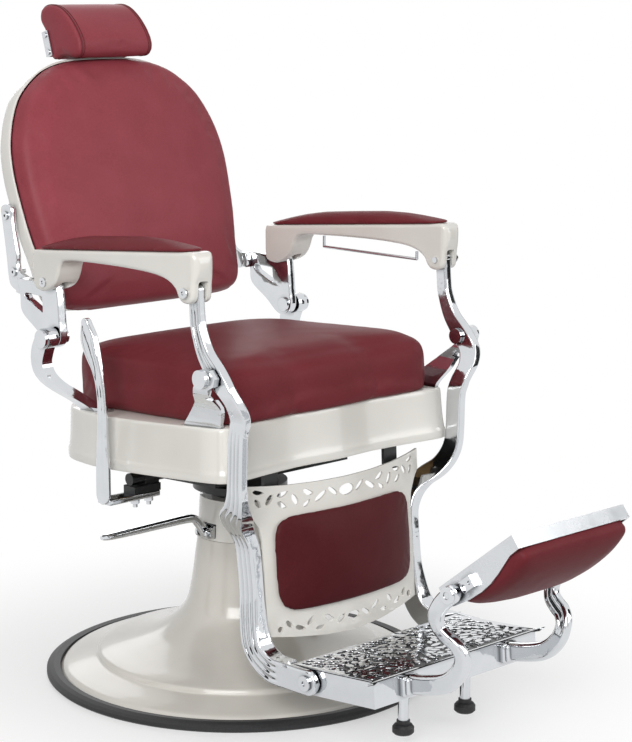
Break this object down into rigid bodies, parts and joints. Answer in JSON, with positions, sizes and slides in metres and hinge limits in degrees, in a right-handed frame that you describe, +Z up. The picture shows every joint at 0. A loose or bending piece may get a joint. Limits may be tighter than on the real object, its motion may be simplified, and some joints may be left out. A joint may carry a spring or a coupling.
{
  "type": "hydraulic barber chair",
  "caption": "Reclining barber chair on a round pump base, with linked armrests, leg frame, foot tray, flip-over foot board and adjustable headrest.",
  "frame": {"origin": "on the column axis at floor level, on the flat underside of the base plate", "axes": "+Z up; the sitter faces -Y; the sitter's right hand, with the recline lever and the pump lever, is on -X"},
  "size_m": [0.6599, 1.1572, 1.1144],
  "materials": {
    "cream_enamel": "gloss cream enamel",
    "cream_mould": "gloss cream moulding",
    "chrome": "polished chrome plate",
    "leatherette": "smooth burgundy leatherette",
    "black_rubber": "black rubber",
    "black_steel": "satin black paint",
    "cast_iron": "as cast",
    "plywood": "bare plywood",
    "bronze_bush": "machined bearing bronze"
  },
  "bodies": {
    "base": {"base_plate": "cast_iron", "rubber_ring": "black_rubber", "base_cover": "cream_enamel", "pump_bush": "bronze_bush"},
    "pump": {"pump_cylinder": "cast_iron", "column_sleeve": "cream_enamel", "lever_clevis": "chrome", "clevis_pin": "chrome"},
    "pump_lever": {"pump_lever": "chrome"},
    "seat": {"lift_ram": "chrome", "seat_hub": "black_steel", "seat_frame": "black_steel", "seat_board": "plywood", "seat_cushion": "leatherette", "apron": "cream_enamel", "front_bracket_right": "chrome", "front_bracket_left": "chrome", "rear_arm_right": "chrome", "rear_arm_left": "chrome", "front_pivot_pins": "chrome", "rear_pivot_pins": "chrome", "bracket_screws": "chrome"},
    "recline_lever": {"recline_lever": "chrome", "recline_shaft": "black_steel", "lever_bolts": "chrome"},
    "back": {"back_shell": "cream_mould", "back_board": "plywood", "back_cushion": "leatherette", "side_bracket_right": "chrome", "side_bracket_left": "chrome", "back_screws": "chrome", "headrest_guide": "chrome"},
    "headrest_bar": {"headrest_bar": "chrome", "headrest_pin": "chrome"},
    "headrest": {"headrest_yoke": "chrome", "headrest_pad": "leatherette", "headrest_screws": "chrome"},
    "arm_right": {"armrest_right": "cream_enamel", "arm_pad_right": "leatherette", "arm_pins_right": "chrome"},
    "arm_left": {"armrest_left": "cream_enamel", "arm_pad_left": "leatherette", "arm_pins_left": "chrome", "towel_bar": "chrome"},
    "legs": {"leg_arm_right": "chrome", "leg_arm_left": "chrome", "cross_tube": "black_steel", "calf_panel": "cream_enamel", "calf_pad": "leatherette"},
    "footrest": {"foot_tray": "chrome", "gooseneck_right": "chrome", "gooseneck_left": "chrome", "foot_posts": "chrome", "rubber_feet": "black_rubber", "foot_bolts": "chrome"},
    "board": {"board_frame": "chrome", "board_pad": "leatherette", "board_hinges": "chrome", "board_pins": "chrome"}
  },
  "joints": [
    {"name": "swivel", "type": "hinge", "parent": "base", "child": "pump", "pos_m": [0, 0, 0.2], "axis": [0, 0, 1], "continuous": true},
    {"name": "lift", "type": "slide", "parent": "pump", "child": "seat", "axis": [0, 0, 1], "range_m": [0, 0.17]},
    {"name": "pump_stroke", "type": "hinge", "parent": "pump", "child": "pump_lever", "pos_m": [-0.08, 0, 0.251], "axis": [0, -1, 0], "range_deg": [0, 25], "stiffness_Nm_per_rad": 3, "springref_deg": -22.92},
    {"name": "recline", "type": "hinge", "parent": "seat", "child": "back", "pos_m": [0, 0.156, 0.583], "axis": [-1, 0, 0], "range_deg": [0, 40]},
    {"name": "leg_swing", "type": "hinge", "parent": "seat", "child": "legs", "pos_m": [0, -0.246, 0.574], "axis": [-1, 0, 0], "range_deg": [0, 31]},
    {"name": "arm_link_right", "type": "hinge", "parent": "legs", "child": "arm_right", "pos_m": [0, -0.206, 0.699], "axis": [-1, 0, 0], "range_deg": [-33, 0]},
    {"name": "arm_link_left", "type": "hinge", "parent": "legs", "child": "arm_left", "pos_m": [0, -0.206, 0.699], "axis": [-1, 0, 0], "range_deg": [-33, 0]},
    {"name": "foot_tilt", "type": "hinge", "parent": "legs", "child": "footrest", "pos_m": [0, -0.365, 0.107], "axis": [-1, 0, 0], "range_deg": [0, 12]},
    {"name": "board_flip", "type": "hinge", "parent": "footrest", "child": "board", "pos_m": [0, -0.606, 0.288], "axis": [-1, 0, 0], "range_deg": [0, 95]},
    {"name": "headrest_slide", "type": "slide", "parent": "back", "child": "headrest_bar", "axis": [0, 0.3007, 0.9537], "range_m": [0, 0.06]},
    {"name": "headrest_tilt", "type": "hinge", "parent": "headrest_bar", "child": "headrest", "pos_m": [0, 0.41313, 1.03496], "axis": [-1, 0, 0], "range_deg": [0, 25]},
    {"name": "recline_pull", "type": "hinge", "parent": "seat", "child": "recline_lever", "pos_m": [0, -0.014, 0.372], "axis": [-1, 0, 0], "range_deg": [0, 22], "stiffness_Nm_per_rad": 5, "springref_deg": -8.59}
  ],
  "couplings": [
    {"joint": "leg_swing", "follows": "recline", "ratio": 0.747},
    {"joint": "arm_link_right", "follows": "recline", "ratio": -0.797},
    {"joint": "arm_link_left", "follows": "recline", "ratio": -0.797}
  ]
}
